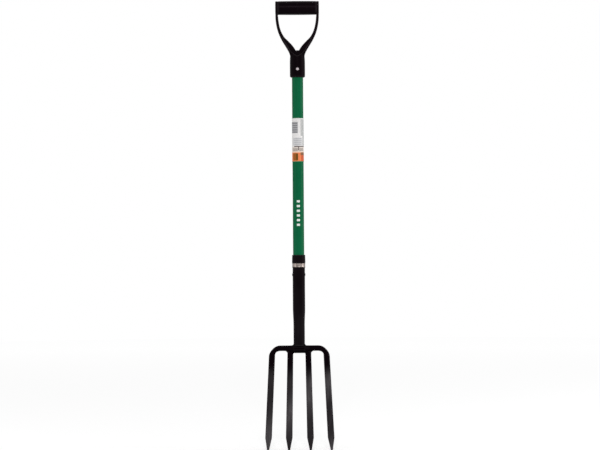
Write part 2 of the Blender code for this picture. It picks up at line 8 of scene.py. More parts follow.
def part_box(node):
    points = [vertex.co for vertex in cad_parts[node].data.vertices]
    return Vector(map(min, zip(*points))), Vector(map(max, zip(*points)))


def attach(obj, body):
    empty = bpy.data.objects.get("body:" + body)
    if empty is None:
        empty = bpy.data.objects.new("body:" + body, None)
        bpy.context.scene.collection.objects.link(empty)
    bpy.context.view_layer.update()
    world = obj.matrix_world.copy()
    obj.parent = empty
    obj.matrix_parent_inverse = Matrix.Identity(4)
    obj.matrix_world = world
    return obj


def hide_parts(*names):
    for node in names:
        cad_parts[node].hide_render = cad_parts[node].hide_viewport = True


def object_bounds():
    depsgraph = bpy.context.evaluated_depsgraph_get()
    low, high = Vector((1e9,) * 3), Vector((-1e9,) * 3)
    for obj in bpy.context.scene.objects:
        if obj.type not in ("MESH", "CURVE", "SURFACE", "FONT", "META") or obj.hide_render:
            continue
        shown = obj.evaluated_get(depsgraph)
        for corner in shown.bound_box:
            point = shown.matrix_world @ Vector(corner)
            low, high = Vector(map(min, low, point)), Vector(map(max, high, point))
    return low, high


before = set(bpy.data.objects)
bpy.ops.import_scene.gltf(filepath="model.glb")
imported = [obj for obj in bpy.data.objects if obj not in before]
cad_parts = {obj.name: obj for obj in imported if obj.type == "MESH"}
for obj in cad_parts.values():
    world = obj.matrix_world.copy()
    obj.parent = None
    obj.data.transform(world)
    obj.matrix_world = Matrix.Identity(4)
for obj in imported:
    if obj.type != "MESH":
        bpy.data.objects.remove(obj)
cad_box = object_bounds()

# Shaft: a drawn steel tube, powder-coated green, riveted into the handle at its top and into the
# socket at its foot. The coat has a fine orange peel and a ladder of plain white marks near its middle.
shaft_low, shaft_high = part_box("shaft_tube")
SHAFT_RADIUS = shaft_high.x
SHAFT_WALL = 0.0015
TURNED_STEPS = 96
CUT_EDGE = 0.0003
SQUARE_TURN = 40.0
EDGE_HOLD = 0.0025
SEAM_WITHIN = 0.000005
MARK_LOW = -0.564
MARK_HIGH = -0.4955
MARK_HALF_WIDTH = 0.0042
MARK_PITCH = 0.0125
MARK_FILL = 0.46
GREEN_STREAKS = 0.35


def tone(red, green, blue):
    """Linear colour of a shade written as it shows on a screen, from 0 to 255."""
    shares = [value / 255.0 for value in (red, green, blue)]
    return tuple(s / 12.92 if s <= 0.04045 else ((s + 0.055) / 1.055) ** 2.4 for s in shares) + (1.0,)


def soften(shape, width, rounds, turn):
    """Rounds the edges of a shape that turn by more than some degrees, and gives the new faces."""
    limit = math.radians(turn)
    edges = [e for e in shape.edges if len(e.link_faces) == 2 and e.calc_face_angle() > limit]
    return bmesh.ops.bevel(
        shape, geom=edges, offset=width, offset_type="OFFSET", affect="EDGES", segments=rounds,
        profile=0.5, material=-1, clamp_overlap=True,
    )["faces"]


def finished_piece(name, shape, node, finish, crisp=SQUARE_TURN):
    """Makes an object of a shape in its finish and lets it stand for its node on the fork.

    Edges that turn by more than crisp degrees are shaded as edges.
    """
    mesh = bpy.data.meshes.new(name)
    shape.to_mesh(mesh)
    shape.free()
    mesh.shade_smooth()
    mesh.set_sharp_from_angle(angle=math.radians(crisp))
    mesh.materials.append(finish)
    piece = bpy.data.objects.new(name, mesh)
    bpy.context.scene.collection.objects.link(piece)
    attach(piece, "root")
    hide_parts(node)


def held_profile(profile, hold):
    """A closed profile with a point near both ends of each long run, so that wear stays at the edges."""
    points = []
    for start, end in zip(profile, profile[1:] + profile[:1]):
        points.append(start)
        run = math.dist(start, end)
        if run > 3 * hold:
            for share in (hold / run, 1 - hold / run):
                points.append(tuple(a + (b - a) * share for a, b in zip(start, end)))
    return points


def turned_shape(profile, steps, closed=True):
    """Spins a profile of (radius, along) points round the Z axis."""
    if closed:
        profile = held_profile(profile, EDGE_HOLD)
    shape = bmesh.new()
    corners = [shape.verts.new((radius, 0.0, along)) for radius, along in profile]
    pairs = list(zip(corners, corners[1:]))
    if closed:
        pairs.append((corners[-1], corners[0]))
    edges = [shape.edges.new(pair) for pair in pairs]
    bmesh.ops.spin(
        shape, geom=corners + edges, cent=(0, 0, 0), axis=(0, 0, 1), angle=math.tau, steps=steps,
        use_merge=True,
    )
    bmesh.ops.remove_doubles(shape, verts=shape.verts, dist=SEAM_WITHIN)
    bmesh.ops.recalc_face_normals(shape, faces=shape.faces)
    return shape


def add_node(tree, kind, inputs=None, **settings):
    """Adds a shader node, with its settings and with sockets that take a value or another socket."""
    made = tree.nodes.new(kind)
    for key, value in settings.items():
        setattr(made, key, value)
    for key, value in (inputs or {}).items():
        if isinstance(value, bpy.types.NodeSocket):
            tree.links.new(value, made.inputs[key])
        else:
            made.inputs[key].default_value = value
    return made


def math_node(tree, operation, first, second=0.0):
    """One step of arithmetic on two values."""
    return add_node(tree, "ShaderNodeMath", {0: first, 1: second}, operation=operation).outputs[0]


def vector_node(tree, operation, first, second):
    """One step of arithmetic on two places."""
    return add_node(tree, "ShaderNodeVectorMath", {0: first, 1: second}, operation=operation).outputs[0]


def laid_over(tree, share, below, above):
    """One colour laid over another by a share."""
    return add_node(tree, "ShaderNodeMix", {0: share, 6: below, 7: above}, data_type="RGBA").outputs[2]


def new_finish(name, roughness, metallic=0.0, specular=0.5):
    """A new material, with its tree, its shader and the piece's own coordinates."""
    finish = bpy.data.materials.new(name)
    finish.use_nodes = True
    tree = finish.node_tree
    shader = tree.nodes["Principled BSDF"]
    shader.inputs["Roughness"].default_value = roughness
    shader.inputs["Metallic"].default_value = metallic
    shader.inputs["Specular IOR Level"].default_value = specular
    place = tree.nodes.new("ShaderNodeTexCoord").outputs["Object"]
    return finish, tree, shader, place


def vary_gloss(tree, shader, cloud, glossy, dull):
    """Lets a finish's roughness drift from glossy to dull with its clouds."""
    drift = add_node(tree, "ShaderNodeMapRange", {"Value": cloud, "To Min": glossy, "To Max": dull})
    tree.links.new(drift.outputs["Result"], shader.inputs["Roughness"])


def raise_surface(tree, shader, height, strength, depth):
    """Gives a finish the relief of a height."""
    bump = add_node(tree, "ShaderNodeBump", {"Height": height, "Strength": strength, "Distance": depth})
    tree.links.new(bump.outputs[0], shader.inputs["Normal"])


def new_group(name, inputs, outputs):
    """A shader node group with named sockets, each of its kind."""
    group = bpy.data.node_groups.new(name, "ShaderNodeTree")
    for sockets, way in ((inputs, "INPUT"), (outputs, "OUTPUT")):
        for label, kind in sockets.items():
            group.interface.new_socket(label, in_out=way, socket_type="NodeSocket" + kind)
    entry = group.nodes.new("NodeGroupInput").outputs
    leave = group.nodes.new("NodeGroupOutput").inputs
    return group, entry, leave


def use_group(tree, group, inputs):
    """Places a node group in a material, with its own values."""
    return add_node(tree, "ShaderNodeGroup", inputs, node_tree=group).outputs


# Cloudy tone shifts a colour softly over a surface, between two shades.
cloudy_tone, entry, leave = new_group(
    "cloudy_tone",
    {"Place": "Vector", "Base": "Color", "Other": "Color", "Scale": "Float"},
    {"Color": "Color", "Cloud": "Float"},
)
cloud = add_node(
    cloudy_tone, "ShaderNodeTexNoise",
    {"Vector": entry["Place"], "Scale": entry["Scale"], "Detail": 4.0, "Roughness": 0.6},
).outputs["Fac"]
spread = add_node(
    cloudy_tone, "ShaderNodeMapRange", {"Value": cloud, "From Min": 0.3, "From Max": 0.7}
).outputs["Result"]
mixed = laid_over(cloudy_tone, spread, entry["Base"], entry["Other"])
cloudy_tone.links.new(mixed, leave["Color"])
cloudy_tone.links.new(spread, leave["Cloud"])

# Rub marks are fine streaks along the tool, where a noise drawn out along Z passes a threshold.
DRAWN_OUT = (1.0, 1.0, 0.08)
STREAK_CONTRAST = 9.0
rub_marks, entry, leave = new_group(
    "rub_marks", {"Place": "Vector", "Scale": "Float", "Threshold": "Float"}, {"Mask": "Float"}
)
drawn = vector_node(rub_marks, "MULTIPLY", entry["Place"], DRAWN_OUT)
streak = add_node(
    rub_marks, "ShaderNodeTexNoise",
    {"Vector": drawn, "Scale": entry["Scale"], "Detail": 3.0, "Roughness": 0.65},
).outputs["Fac"]
above = math_node(rub_marks, "SUBTRACT", streak, entry["Threshold"])
paler_share = add_node(
    rub_marks, "ShaderNodeMath", {0: above, 1: STREAK_CONTRAST}, operation="MULTIPLY", use_clamp=True
)
rub_marks.links.new(paler_share.outputs[0], leave["Mask"])

# Fine grain is the height of small pores, for a bump.
fine_grain, entry, leave = new_group(
    "fine_grain", {"Place": "Vector", "Scale": "Float"}, {"Height": "Float"}
)
pores = add_node(
    fine_grain, "ShaderNodeTexNoise", {"Vector": entry["Place"], "Scale": entry["Scale"], "Detail": 2.0}
).outputs["Fac"]
fine_grain.links.new(pores, leave["Height"])

# Worn and highlit edges shows how far a surface turns outwards, between a start and an end, up to a
# share. It marks rubbed edges, and on black plastic also edges with a painted highlight.
worn_and_highlit_edges, entry, leave = new_group(
    "worn_and_highlit_edges", {"Start": "Float", "End": "Float", "Share": "Float"}, {"Mask": "Float"}
)
turn = worn_and_highlit_edges.nodes.new("ShaderNodeNewGeometry").outputs["Pointiness"]
outward = add_node(
    worn_and_highlit_edges, "ShaderNodeMapRange",
    {"Value": turn, "From Min": entry["Start"], "From Max": entry["End"], "To Max": entry["Share"]},
).outputs["Result"]
worn_and_highlit_edges.links.new(outward, leave["Mask"])

# A printed block is a rectangle on the wall of the shaft, between two heights and two distances round
# the shaft from its front. It is cut into lines, each of which fills a share of the pitch.
printed_block, entry, leave = new_group(
    "printed_block",
    {"Place": "Vector", "Radius": "Float", "Left": "Float", "Right": "Float", "Low": "Float",
     "High": "Float", "Pitch": "Float", "Fill": "Float"},
    {"Mask": "Float"},
)
split = add_node(printed_block, "ShaderNodeSeparateXYZ", {0: entry["Place"]}).outputs
front = math_node(printed_block, "MULTIPLY", split["Y"], -1.0)
turn = math_node(printed_block, "ARCTAN2", split["X"], front)
around = math_node(printed_block, "MULTIPLY", turn, entry["Radius"])
mask = math_node(printed_block, "GREATER_THAN", around, entry["Left"])
for value, side, limit in (
    (around, "LESS_THAN", "Right"),
    (split["Z"], "GREATER_THAN", "Low"),
    (split["Z"], "LESS_THAN", "High"),
):
    inside = math_node(printed_block, side, value, entry[limit])
    mask = math_node(printed_block, "MULTIPLY", mask, inside)
risen = math_node(printed_block, "SUBTRACT", split["Z"], entry["Low"])
lines = math_node(printed_block, "DIVIDE", risen, entry["Pitch"])
within = math_node(printed_block, "FRACT", lines)
inked = math_node(printed_block, "LESS_THAN", within, entry["Fill"])
mask = math_node(printed_block, "MULTIPLY", mask, inked)
printed_block.links.new(mask, leave["Mask"])

GREEN = tone(2, 89, 54)
GREEN_OTHER = tone(5, 95, 59)
GREEN_RUBBED = tone(52, 128, 94)
MARK_WHITE = tone(232, 236, 232)
green_coat, tree, shader, place = new_finish("green_coat", roughness=0.36, specular=0.05)
coat = use_group(tree, cloudy_tone, {"Place": place, "Base": GREEN, "Other": GREEN_OTHER, "Scale": 14.0})
streaks = use_group(tree, rub_marks, {"Place": place, "Scale": 160.0, "Threshold": 0.66})["Mask"]
streaks = math_node(tree, "MULTIPLY", streaks, GREEN_STREAKS)
edges = use_group(tree, worn_and_highlit_edges, {"Start": 0.51, "End": 0.56, "Share": 0.60})["Mask"]
paler_share = math_node(tree, "MAXIMUM", streaks, edges)
colour = laid_over(tree, paler_share, coat["Color"], GREEN_RUBBED)
marks = use_group(
    tree, printed_block,
    {"Place": place, "Radius": SHAFT_RADIUS, "Left": -MARK_HALF_WIDTH, "Right": MARK_HALF_WIDTH,
     "Low": MARK_LOW, "High": MARK_HIGH, "Pitch": MARK_PITCH, "Fill": MARK_FILL},
)["Mask"]
colour = laid_over(tree, marks, colour, MARK_WHITE)
tree.links.new(colour, shader.inputs["Base Color"])
vary_gloss(tree, shader, coat["Cloud"], glossy=0.32, dull=0.42)
peel = use_group(tree, fine_grain, {"Place": place, "Scale": 520.0})["Height"]
raise_surface(tree, shader, peel, strength=0.12, depth=0.0004)

shaft_wall = [
    (SHAFT_RADIUS, shaft_high.z), (SHAFT_RADIUS, shaft_low.z),
    (SHAFT_RADIUS - SHAFT_WALL, shaft_low.z), (SHAFT_RADIUS - SHAFT_WALL, shaft_high.z),
]
shape = turned_shape(shaft_wall, TURNED_STEPS)
soften(shape, CUT_EDGE, rounds=2, turn=SQUARE_TURN)
finished_piece("shaft", shape, "shaft_tube", green_coat)

# Label: white printed film wrapped round the shaft, its two edges a finger short of meeting at the
# back. It is laid out in plain grey bars, two pale cells and an orange foot, and both its ends are
# ragged and worn through to the green.
label_low, label_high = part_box("label_wrap")
LABEL_RADIUS = label_high.x
LABEL_FILM = 0.0003
LABEL_GAP = 0.0090
LABEL_STEPS = 88
FILM_WHITE = tone(222, 220, 219)
FILM_OTHER = tone(230, 228, 227)
BAR_SHADE = tone(172, 172, 174)
BAR_GREY = tone(124, 124, 127)
COLUMN_GREY = tone(164, 166, 165)
PANEL_GREY = tone(206, 206, 207)
PANEL_LINE = tone(186, 186, 188)
CELL_GREY = tone(218, 208, 199)
CELL_LINE = tone(146, 136, 130)
RULE_DARK = tone(92, 80, 80)
FOOT_PALE = tone(236, 196, 170)
FOOT_ORANGE = tone(236, 132, 82)
FOOT_RED = tone(196, 86, 42)
FOOT_BROWN = tone(152, 84, 14)
FOOT_OLIVE = tone(92, 66, 0)
FOOT_UMBER = tone(128, 86, 52)
WORN_THROUGH = tone(70, 126, 96)
WORN_END = 0.0013
WORN_RAGGED = 0.0024
NOISE_MIDDLE = (0.5, 0.5, 0.5)
WHOLE = 1.0
foot = label_low.z
head = label_high.z - foot
prints = (
    # ink, left and right round the shaft, low and high above the foot, pitch of its lines and their share
    (BAR_SHADE, -0.030, 0.0000, 0.0760, 0.1062, WHOLE, WHOLE),
    (BAR_GREY, -0.030, -0.0012, 0.0772, 0.1062, 0.0059, 0.55),
    (COLUMN_GREY, 0.0075, 0.0300, 0.0690, 0.1135, 0.0027, 0.80),
    (COLUMN_GREY, 0.0137, 0.0300, 0.0430, 0.0690, 0.0027, 0.80),
    (PANEL_GREY, -0.0160, 0.0125, 0.0430, 0.0640, WHOLE, WHOLE),
    (PANEL_LINE, -0.0110, 0.0110, 0.0440, 0.0630, 0.0053, 0.55),
    (CELL_GREY, -0.0300, 0.0300, 0.0265, 0.0395, WHOLE, WHOLE),
    (CELL_LINE, -0.0165, -0.0006, 0.0284, 0.0365, 0.0027, 0.62),
    (CELL_LINE, 0.0036, 0.0170, 0.0284, 0.0365, 0.0027, 0.62),
    (RULE_DARK, -0.0110, 0.0300, 0.0391, 0.0418, WHOLE, WHOLE),
    (RULE_DARK, 0.0003, 0.0027, 0.0300, 0.0395, WHOLE, WHOLE),
    (FOOT_PALE, -0.0300, 0.0300, 0.0238, 0.0268, WHOLE, WHOLE),
    (FOOT_ORANGE, -0.0600, 0.0600, -0.0010, 0.0240, WHOLE, WHOLE),
    (FOOT_RED, 0.0085, 0.0300, -0.0010, 0.0240, WHOLE, WHOLE),
    (FOOT_BROWN, -0.0150, 0.0003, 0.0030, 0.0225, WHOLE, WHOLE),
    (FOOT_OLIVE, -0.0048, -0.0004, 0.0045, 0.0210, WHOLE, WHOLE),
    (FOOT_UMBER, 0.0070, 0.0300, 0.0178, 0.0248, WHOLE, WHOLE),
)
worn_ends = (
    (WORN_THROUGH, -WHOLE, WHOLE, -WHOLE, WORN_END, WHOLE, WHOLE),
    (WORN_THROUGH, -WHOLE, WHOLE, head - WORN_END, WHOLE, WHOLE, WHOLE),
)
printed_film, tree, shader, place = new_finish("printed_film", roughness=0.42, specular=0.20)
film = use_group(
    tree, cloudy_tone, {"Place": place, "Base": FILM_WHITE, "Other": FILM_OTHER, "Scale": 22.0}
)
fray = add_node(
    tree, "ShaderNodeTexNoise", {"Vector": place, "Scale": 420.0, "Detail": 3.0}
).outputs["Color"]
fray = vector_node(tree, "SUBTRACT", fray, NOISE_MIDDLE)
fray = vector_node(tree, "MULTIPLY", fray, (WORN_RAGGED, WORN_RAGGED, WORN_RAGGED))
ragged = vector_node(tree, "ADD", place, fray)
colour = film["Color"]
for where, blocks in ((place, prints), (ragged, worn_ends)):
    for ink, left, right, low, high, pitch, fill in blocks:
        block = use_group(
            tree, printed_block,
            {"Place": where, "Radius": LABEL_RADIUS, "Left": left, "Right": right, "Low": foot + low,
             "High": foot + high, "Pitch": pitch, "Fill": fill},
        )["Mask"]
        colour = laid_over(tree, block, colour, ink)
tree.links.new(colour, shader.inputs["Base Color"])
vary_gloss(tree, shader, film["Cloud"], glossy=0.36, dull=0.50)
creases = use_group(tree, fine_grain, {"Place": place, "Scale": 90.0})["Height"]
raise_surface(tree, shader, creases, strength=0.10, depth=0.0006)

shape = bmesh.new()
strip = [
    shape.verts.new((0.0, radius, height))
    for radius, height in (
        (LABEL_RADIUS, label_high.z), (LABEL_RADIUS, label_low.z),
        (LABEL_RADIUS - LABEL_FILM, label_low.z), (LABEL_RADIUS - LABEL_FILM, label_high.z),
    )
]
edges = [shape.edges.new(pair) for pair in zip(strip, strip[1:] + strip[:1])]
gap_turn = LABEL_GAP / LABEL_RADIUS
bmesh.ops.rotate(
    shape, verts=strip, cent=(0, 0, 0), matrix=Matrix.Rotation(gap_turn / 2, 3, "Z")
)
bmesh.ops.spin(
    shape, geom=strip + edges, cent=(0, 0, 0), axis=(0, 0, 1), angle=math.tau - gap_turn,
    steps=LABEL_STEPS,
)
bmesh.ops.holes_fill(shape, edges=[e for e in shape.edges if len(e.link_faces) == 1], sides=4)
bmesh.ops.recalc_face_normals(shape, faces=shape.faces)
finished_piece("label", shape, "label_wrap", printed_film)

# Handle: one black moulding with a round socket for the shaft, two rimmed arms that spread into a D
# from a thin web, and an eye at the top of each arm. Its corners are all a little round, its arms are
# full, and a fine parting line runs up both its sides.
HANDLE_GRID = 0.0008
HANDLE_SMOOTHING = 3
PARTING_LINE = 0.00025
ARM_SWELL = 0.0004
ARM_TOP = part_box("grip_sleeve")[0].z
ARM_FOOT = -0.100
ARM_FADE = 0.010
ALL_SMOOTH = 180.0
NODE_SEAM_WITHIN = 0.000002
MOULDED_BLACK = tone(4, 1, 3)
MOULDED_OTHER = tone(7, 3, 5)
MOULDED_RUBBED_AND_HIGHLIGHT = tone(62, 56, 59)
MOULDED_STREAKS = 0.30
BLACK_GLOSS = (1.0, 0.70, 0.88, 1.0)


def merged_copy(node):
    """A copy of a node's shape with its triangles joined along their edges."""
    shape = bmesh.new()
    shape.from_mesh(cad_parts[node].data)
    bmesh.ops.remove_doubles(shape, verts=shape.verts, dist=NODE_SEAM_WITHIN)
    return shape


def moulded_shape(node, grid, smoothing):
    """A copy of a node's shape on an even grid, with all its corners eased as in a mould."""
    shape = merged_copy(node)
    mesh = bpy.data.meshes.new(node + "_grid")
    shape.to_mesh(mesh)
    shape.free()
    carrier = bpy.data.objects.new(node + "_grid", mesh)
    bpy.context.scene.collection.objects.link(carrier)
    remesh = carrier.modifiers.new("even", "REMESH")
    remesh.mode = "VOXEL"
    remesh.voxel_size = grid
    remesh.adaptivity = 0.0
    bpy.context.view_layer.update()
    seen = carrier.evaluated_get(bpy.context.evaluated_depsgraph_get())
    even = bpy.data.meshes.new_from_object(seen)
    bpy.data.objects.remove(carrier)
    bpy.data.meshes.remove(mesh)
    shape = bmesh.new()
    shape.from_mesh(even)
    bpy.data.meshes.remove(even)
    for _ in range(smoothing):
        bmesh.ops.smooth_vert(
            shape, verts=shape.verts, factor=0.5, use_axis_x=True, use_axis_y=True, use_axis_z=True
        )
    return shape


def moulded_black(name, roughness, grain_scale, grain_depth, parting=0.0):
    """Black moulded plastic: fine spark grain, cloudy tone, paler rubbed streaks, and paler edges that
    are partly rubbed and partly a painted highlight.
    """
    finish, tree, shader, place = new_finish(name, roughness, specular=0.03)
    shader.inputs["Specular Tint"].default_value = BLACK_GLOSS
    body = use_group(
        tree, cloudy_tone, {"Place": place, "Base": MOULDED_BLACK, "Other": MOULDED_OTHER, "Scale": 30.0}
    )
    streaks = use_group(tree, rub_marks, {"Place": place, "Scale": 210.0, "Threshold": 0.64})["Mask"]
    streaks = math_node(tree, "MULTIPLY", streaks, MOULDED_STREAKS)
    # Edges turn paler: partly rubbing, and partly a painted highlight where the rounded rims catch the
    # light.
    edges = use_group(tree, worn_and_highlit_edges, {"Start": 0.505, "End": 0.555, "Share": 0.70})["Mask"]
    paler_share = math_node(tree, "MAXIMUM", streaks, edges)
    colour = laid_over(tree, paler_share, body["Color"], MOULDED_RUBBED_AND_HIGHLIGHT)
    tree.links.new(colour, shader.inputs["Base Color"])
    vary_gloss(tree, shader, body["Cloud"], glossy=roughness - 0.05, dull=roughness + 0.08)
    height = use_group(tree, fine_grain, {"Place": place, "Scale": grain_scale})["Height"]
    if parting:
        depth = add_node(tree, "ShaderNodeSeparateXYZ", {0: place}).outputs["Y"]
        off_middle = math_node(tree, "ABSOLUTE", depth)
        line = math_node(tree, "LESS_THAN", off_middle, parting)
        height = math_node(tree, "ADD", height, line)
    raise_surface(tree, shader, height, strength=0.35, depth=grain_depth)
    return finish


handle_black = moulded_black(
    "handle_black", roughness=0.46, grain_scale=900.0, grain_depth=0.00025, parting=PARTING_LINE
)
shape = moulded_shape("handle_body", HANDLE_GRID, HANDLE_SMOOTHING)
shape.normal_update()
for point in shape.verts:
    along_arm = min(ARM_TOP - point.co.z, point.co.z - ARM_FOOT) / ARM_FADE
    point.co += point.normal * ARM_SWELL * min(max(along_arm, 0.0), 1.0)
finished_piece("d_handle", shape, "handle_body", handle_black, crisp=ALL_SMOOTH)

# Hand grip: a soft black barrel between the eyes, very slightly fuller in its middle, on a steel
# cross tube whose ends are closed by two round plugs.
grip_low, grip_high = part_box("grip_sleeve")
GRIP_RADIUS = (grip_high.z - grip_low.z) / 2
GRIP_CROWN = 0.0004
GRIP_BORE = 0.0113
GRIP_EDGE = 0.0012
GRIP_SEAT = 0.0004
BARREL_STEPS = 12
EASED_TURN = 50.0
grip_axis = (grip_high.z + grip_low.z) / 2
reach = grip_high.x + GRIP_SEAT
along_x = Matrix.Translation((0, 0, grip_axis)) @ Matrix.Rotation(math.pi / 2, 4, "Y")
barrel = []
for step in range(BARREL_STEPS + 1):
    share = 1 - 2 * step / BARREL_STEPS
    barrel.append((GRIP_RADIUS - GRIP_CROWN * (1 - math.cos(share * math.pi / 2)), share * reach))
shape = turned_shape(barrel + [(GRIP_BORE, -reach), (GRIP_BORE, reach)], TURNED_STEPS)
soften(shape, GRIP_EDGE, rounds=4, turn=EASED_TURN)
bmesh.ops.transform(shape, matrix=along_x, verts=shape.verts)
grip_black = moulded_black("grip_black", roughness=0.36, grain_scale=700.0, grain_depth=0.00012)
finished_piece("hand_grip", shape, "grip_sleeve", grip_black, crisp=EASED_TURN)

# Plugs and cross tube: the plugs are black plastic with a shallow dish, pressed in flush with the
# outside of the eyes; the tube is plain drawn steel, hidden in the grip and the eyes.
SMALL_STEPS = 64
PLUG_DISH = 0.0004
DISH_FLOOR = 0.62
DISH_RIM = 0.70
PLUG_FLANGE = 0.0018
PLUG_STEM = 0.0087
PLUG_DEPTH = 0.0108
for side, half_turn in (("left", math.pi), ("right", 0.0)):
    low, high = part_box("grip_cap_" + side)
    flange = (high.z - low.z) / 2
    face = max(abs(low.x), abs(high.x))
    plug = [
        (0.0, face - PLUG_DISH), (flange * DISH_FLOOR, face - PLUG_DISH), (flange * DISH_RIM, face),
        (flange, face), (flange, face - PLUG_FLANGE), (PLUG_STEM, face - PLUG_FLANGE),
        (PLUG_STEM, face - PLUG_DEPTH), (0.0, face - PLUG_DEPTH),
    ]
    shape = turned_shape(plug, SMALL_STEPS, closed=False)
    soften(shape, CUT_EDGE, rounds=2, turn=SQUARE_TURN)
    bmesh.ops.transform(
        shape, matrix=along_x @ Matrix.Rotation(half_turn, 4, "Y"), verts=shape.verts
    )
    finished_piece("grip_plug_" + side, shape, "grip_cap_" + side, handle_black)

STEEL = tone(176, 170, 168)
STEEL_OTHER = tone(150, 143, 141)
POLISHED = tone(226, 219, 214)
CORE_WALL = 0.002


def bright_metal(name, base, other, roughness, line_scale):
    """Bare metal with fine drawn lines, soft stains and polished edges."""
    finish, tree, shader, place = new_finish(name, roughness, metallic=1.0)
    body = use_group(tree, cloudy_tone, {"Place": place, "Base": base, "Other": other, "Scale": 120.0})
    edges = use_group(tree, worn_and_highlit_edges, {"Start": 0.52, "End": 0.60, "Share": 0.40})["Mask"]
    colour = laid_over(tree, edges, body["Color"], POLISHED)
    tree.links.new(colour, shader.inputs["Base Color"])
    vary_gloss(tree, shader, body["Cloud"], glossy=roughness - 0.07, dull=roughness + 0.10)
    lines = use_group(tree, fine_grain, {"Place": place, "Scale": line_scale})["Height"]
    raise_surface(tree, shader, lines, strength=0.15, depth=0.0002)
    return finish


core_low, core_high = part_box("grip_core_tube")
core = (core_high.z - core_low.z) / 2
core_wall = [
    (core, core_high.x), (core, core_low.x), (core - CORE_WALL, core_low.x),
    (core - CORE_WALL, core_high.x),
]
shape = turned_shape(core_wall, SMALL_STEPS)
soften(shape, CUT_EDGE, rounds=1, turn=SQUARE_TURN)
bmesh.ops.transform(shape, matrix=along_x, verts=shape.verts)
drawn_steel = bright_metal("drawn_steel", STEEL, STEEL_OTHER, roughness=0.35, line_scale=800.0)
finished_piece("cross_tube", shape, "grip_core_tube", drawn_steel)

# Handle rivet: a bright rivet set through the handle's socket and the shaft, front to back, with a
# low domed head on each face.
RIVET_BRIGHT = tone(176, 167, 171)
RIVET_OTHER = tone(160, 151, 155)
RIVET_STEPS = 40
DOME_STEP = 10
SHANK_RADIUS = 0.0025
HEAD_HEIGHT = 0.0018
HEAD_TRIM = 0.0004


def rivet_shape(head_radius, half_length, head_height, place):
    """A round shank between two low domes."""
    half = []
    for degrees in range(0, 90 + DOME_STEP, DOME_STEP):
        slope = math.radians(degrees)
        half.append((head_radius * math.sin(slope), half_length - head_height * (1 - math.cos(slope))))
    half.append((SHANK_RADIUS, half_length - head_height))
    other_half = [(radius, -along) for radius, along in reversed(half)]
    shape = turned_shape(half + other_half, RIVET_STEPS, closed=False)
    bmesh.ops.transform(shape, matrix=place, verts=shape.verts)
    return shape


low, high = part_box("handle_rivet")
front_to_back = Matrix.Translation((low + high) / 2) @ Matrix.Rotation(math.pi / 2, 4, "X")
shape = rivet_shape((high.x - low.x) / 2 - HEAD_TRIM, (high.y - low.y) / 2, HEAD_HEIGHT, front_to_back)
rivet_metal = bright_metal(
    "bright_rivet_metal", RIVET_BRIGHT, RIVET_OTHER, roughness=0.55, line_scale=900.0
)
finished_piece("bright_rivet", shape, "handle_rivet", rivet_metal, crisp=EASED_TURN)

# Collar: a short black plastic sleeve on the shaft that closes the socket's mouth, a little wider at
# its foot and rounded over at its top.
low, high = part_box("socket_collar")
COLLAR_TOP_RADIUS = 0.0174
COLLAR_ROUND = 0.0006
SEAT_GAP = 0.0003
collar_bore = SHAFT_RADIUS + SEAT_GAP
collar_wall = [
    (COLLAR_TOP_RADIUS, high.z), (high.x, low.z), (collar_bore, low.z), (collar_bore, high.z),
]
shape = turned_shape(collar_wall, TURNED_STEPS)
soften(shape, COLLAR_ROUND, rounds=4, turn=SQUARE_TURN)
collar_black = moulded_black("collar_black", roughness=0.45, grain_scale=1000.0, grain_depth=0.0002)
finished_piece("collar", shape, "socket_collar", collar_black, crisp=EASED_TURN)

# Ferrule ring: a band of bare plated steel clamped round the socket's mouth, with rolled edges. Its
# colour is set to black in a band along its top edge and along its bottom edge.
low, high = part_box("ferrule_ring")
RING_DULL = tone(106, 96, 92)
RING_BRIGHT = tone(160, 149, 144)
PAINT_BLACK = tone(4, 1, 3)
BLACK_EDGE_BELOW = 0.0016
BLACK_EDGE_ABOVE = 0.0009
LIP_IN = 0.0002
ROLL_MIDDLE = 0.0022
ROLL_FOOT = 0.0032
WAIST_IN = 0.0004
RING_TURN = 20.0
RING_CRISP = 60.0
ring_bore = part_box("socket_tube")[1].x + SEAT_GAP
ring_wall = [
    (high.x - LIP_IN, high.z), (high.x, high.z - ROLL_MIDDLE), (high.x - WAIST_IN, high.z - ROLL_FOOT),
    (high.x - WAIST_IN, low.z + ROLL_FOOT), (high.x, low.z + ROLL_MIDDLE), (high.x - LIP_IN, low.z),
    (ring_bore, low.z), (ring_bore, high.z),
]
shape = turned_shape(ring_wall, TURNED_STEPS)
soften(shape, CUT_EDGE, rounds=2, turn=RING_TURN)
plated_steel = bright_metal("plated_steel", RING_DULL, RING_BRIGHT, roughness=0.34, line_scale=600.0)
tree = plated_steel.node_tree
shader = tree.nodes["Principled BSDF"]
place = tree.nodes["Texture Coordinate"].outputs["Object"]
# The ring is coloured black in a band along its top edge and along its bottom edge.
height = add_node(tree, "ShaderNodeSeparateXYZ", {0: place}).outputs["Z"]
below = math_node(tree, "LESS_THAN", height, low.z + BLACK_EDGE_BELOW)
above = math_node(tree, "GREATER_THAN", height, high.z - BLACK_EDGE_ABOVE)
black_edges = math_node(tree, "MAXIMUM", below, above)
bare = shader.inputs["Base Color"].links[0].from_socket
tree.links.new(laid_over(tree, black_edges, bare, PAINT_BLACK), shader.inputs["Base Color"])
finished_piece("ferrule", shape, "ferrule_ring", plated_steel, crisp=RING_CRISP)

# Socket: a steel tube painted black, that takes the shaft above and is swaged down to a narrower neck,
# which stands on the crossbar and is welded to it.
low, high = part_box("socket_tube")
SOCKET_WALL = 0.0012
NECK_RADIUS = 0.0151
NECK_HEIGHT = 0.055
SWAGE_HEIGHT = 0.045
SWAGE_STEPS = 12
WELD_SINK = 0.0005
PAINT_OTHER = tone(8, 3, 6)
PAINT_RUBBED_AND_SHEEN = tone(80, 77, 79)
STREAKS_LEAST = 0.72
CLOUDS_LEAST = 0.62
SHEEN_BANDS_LEAST = 0.32
SHEEN_BAND_SLANT = math.radians(43.0)
SHEEN_BAND_SCALE = 2.07
SHEEN_BAND_PHASE = 3.4


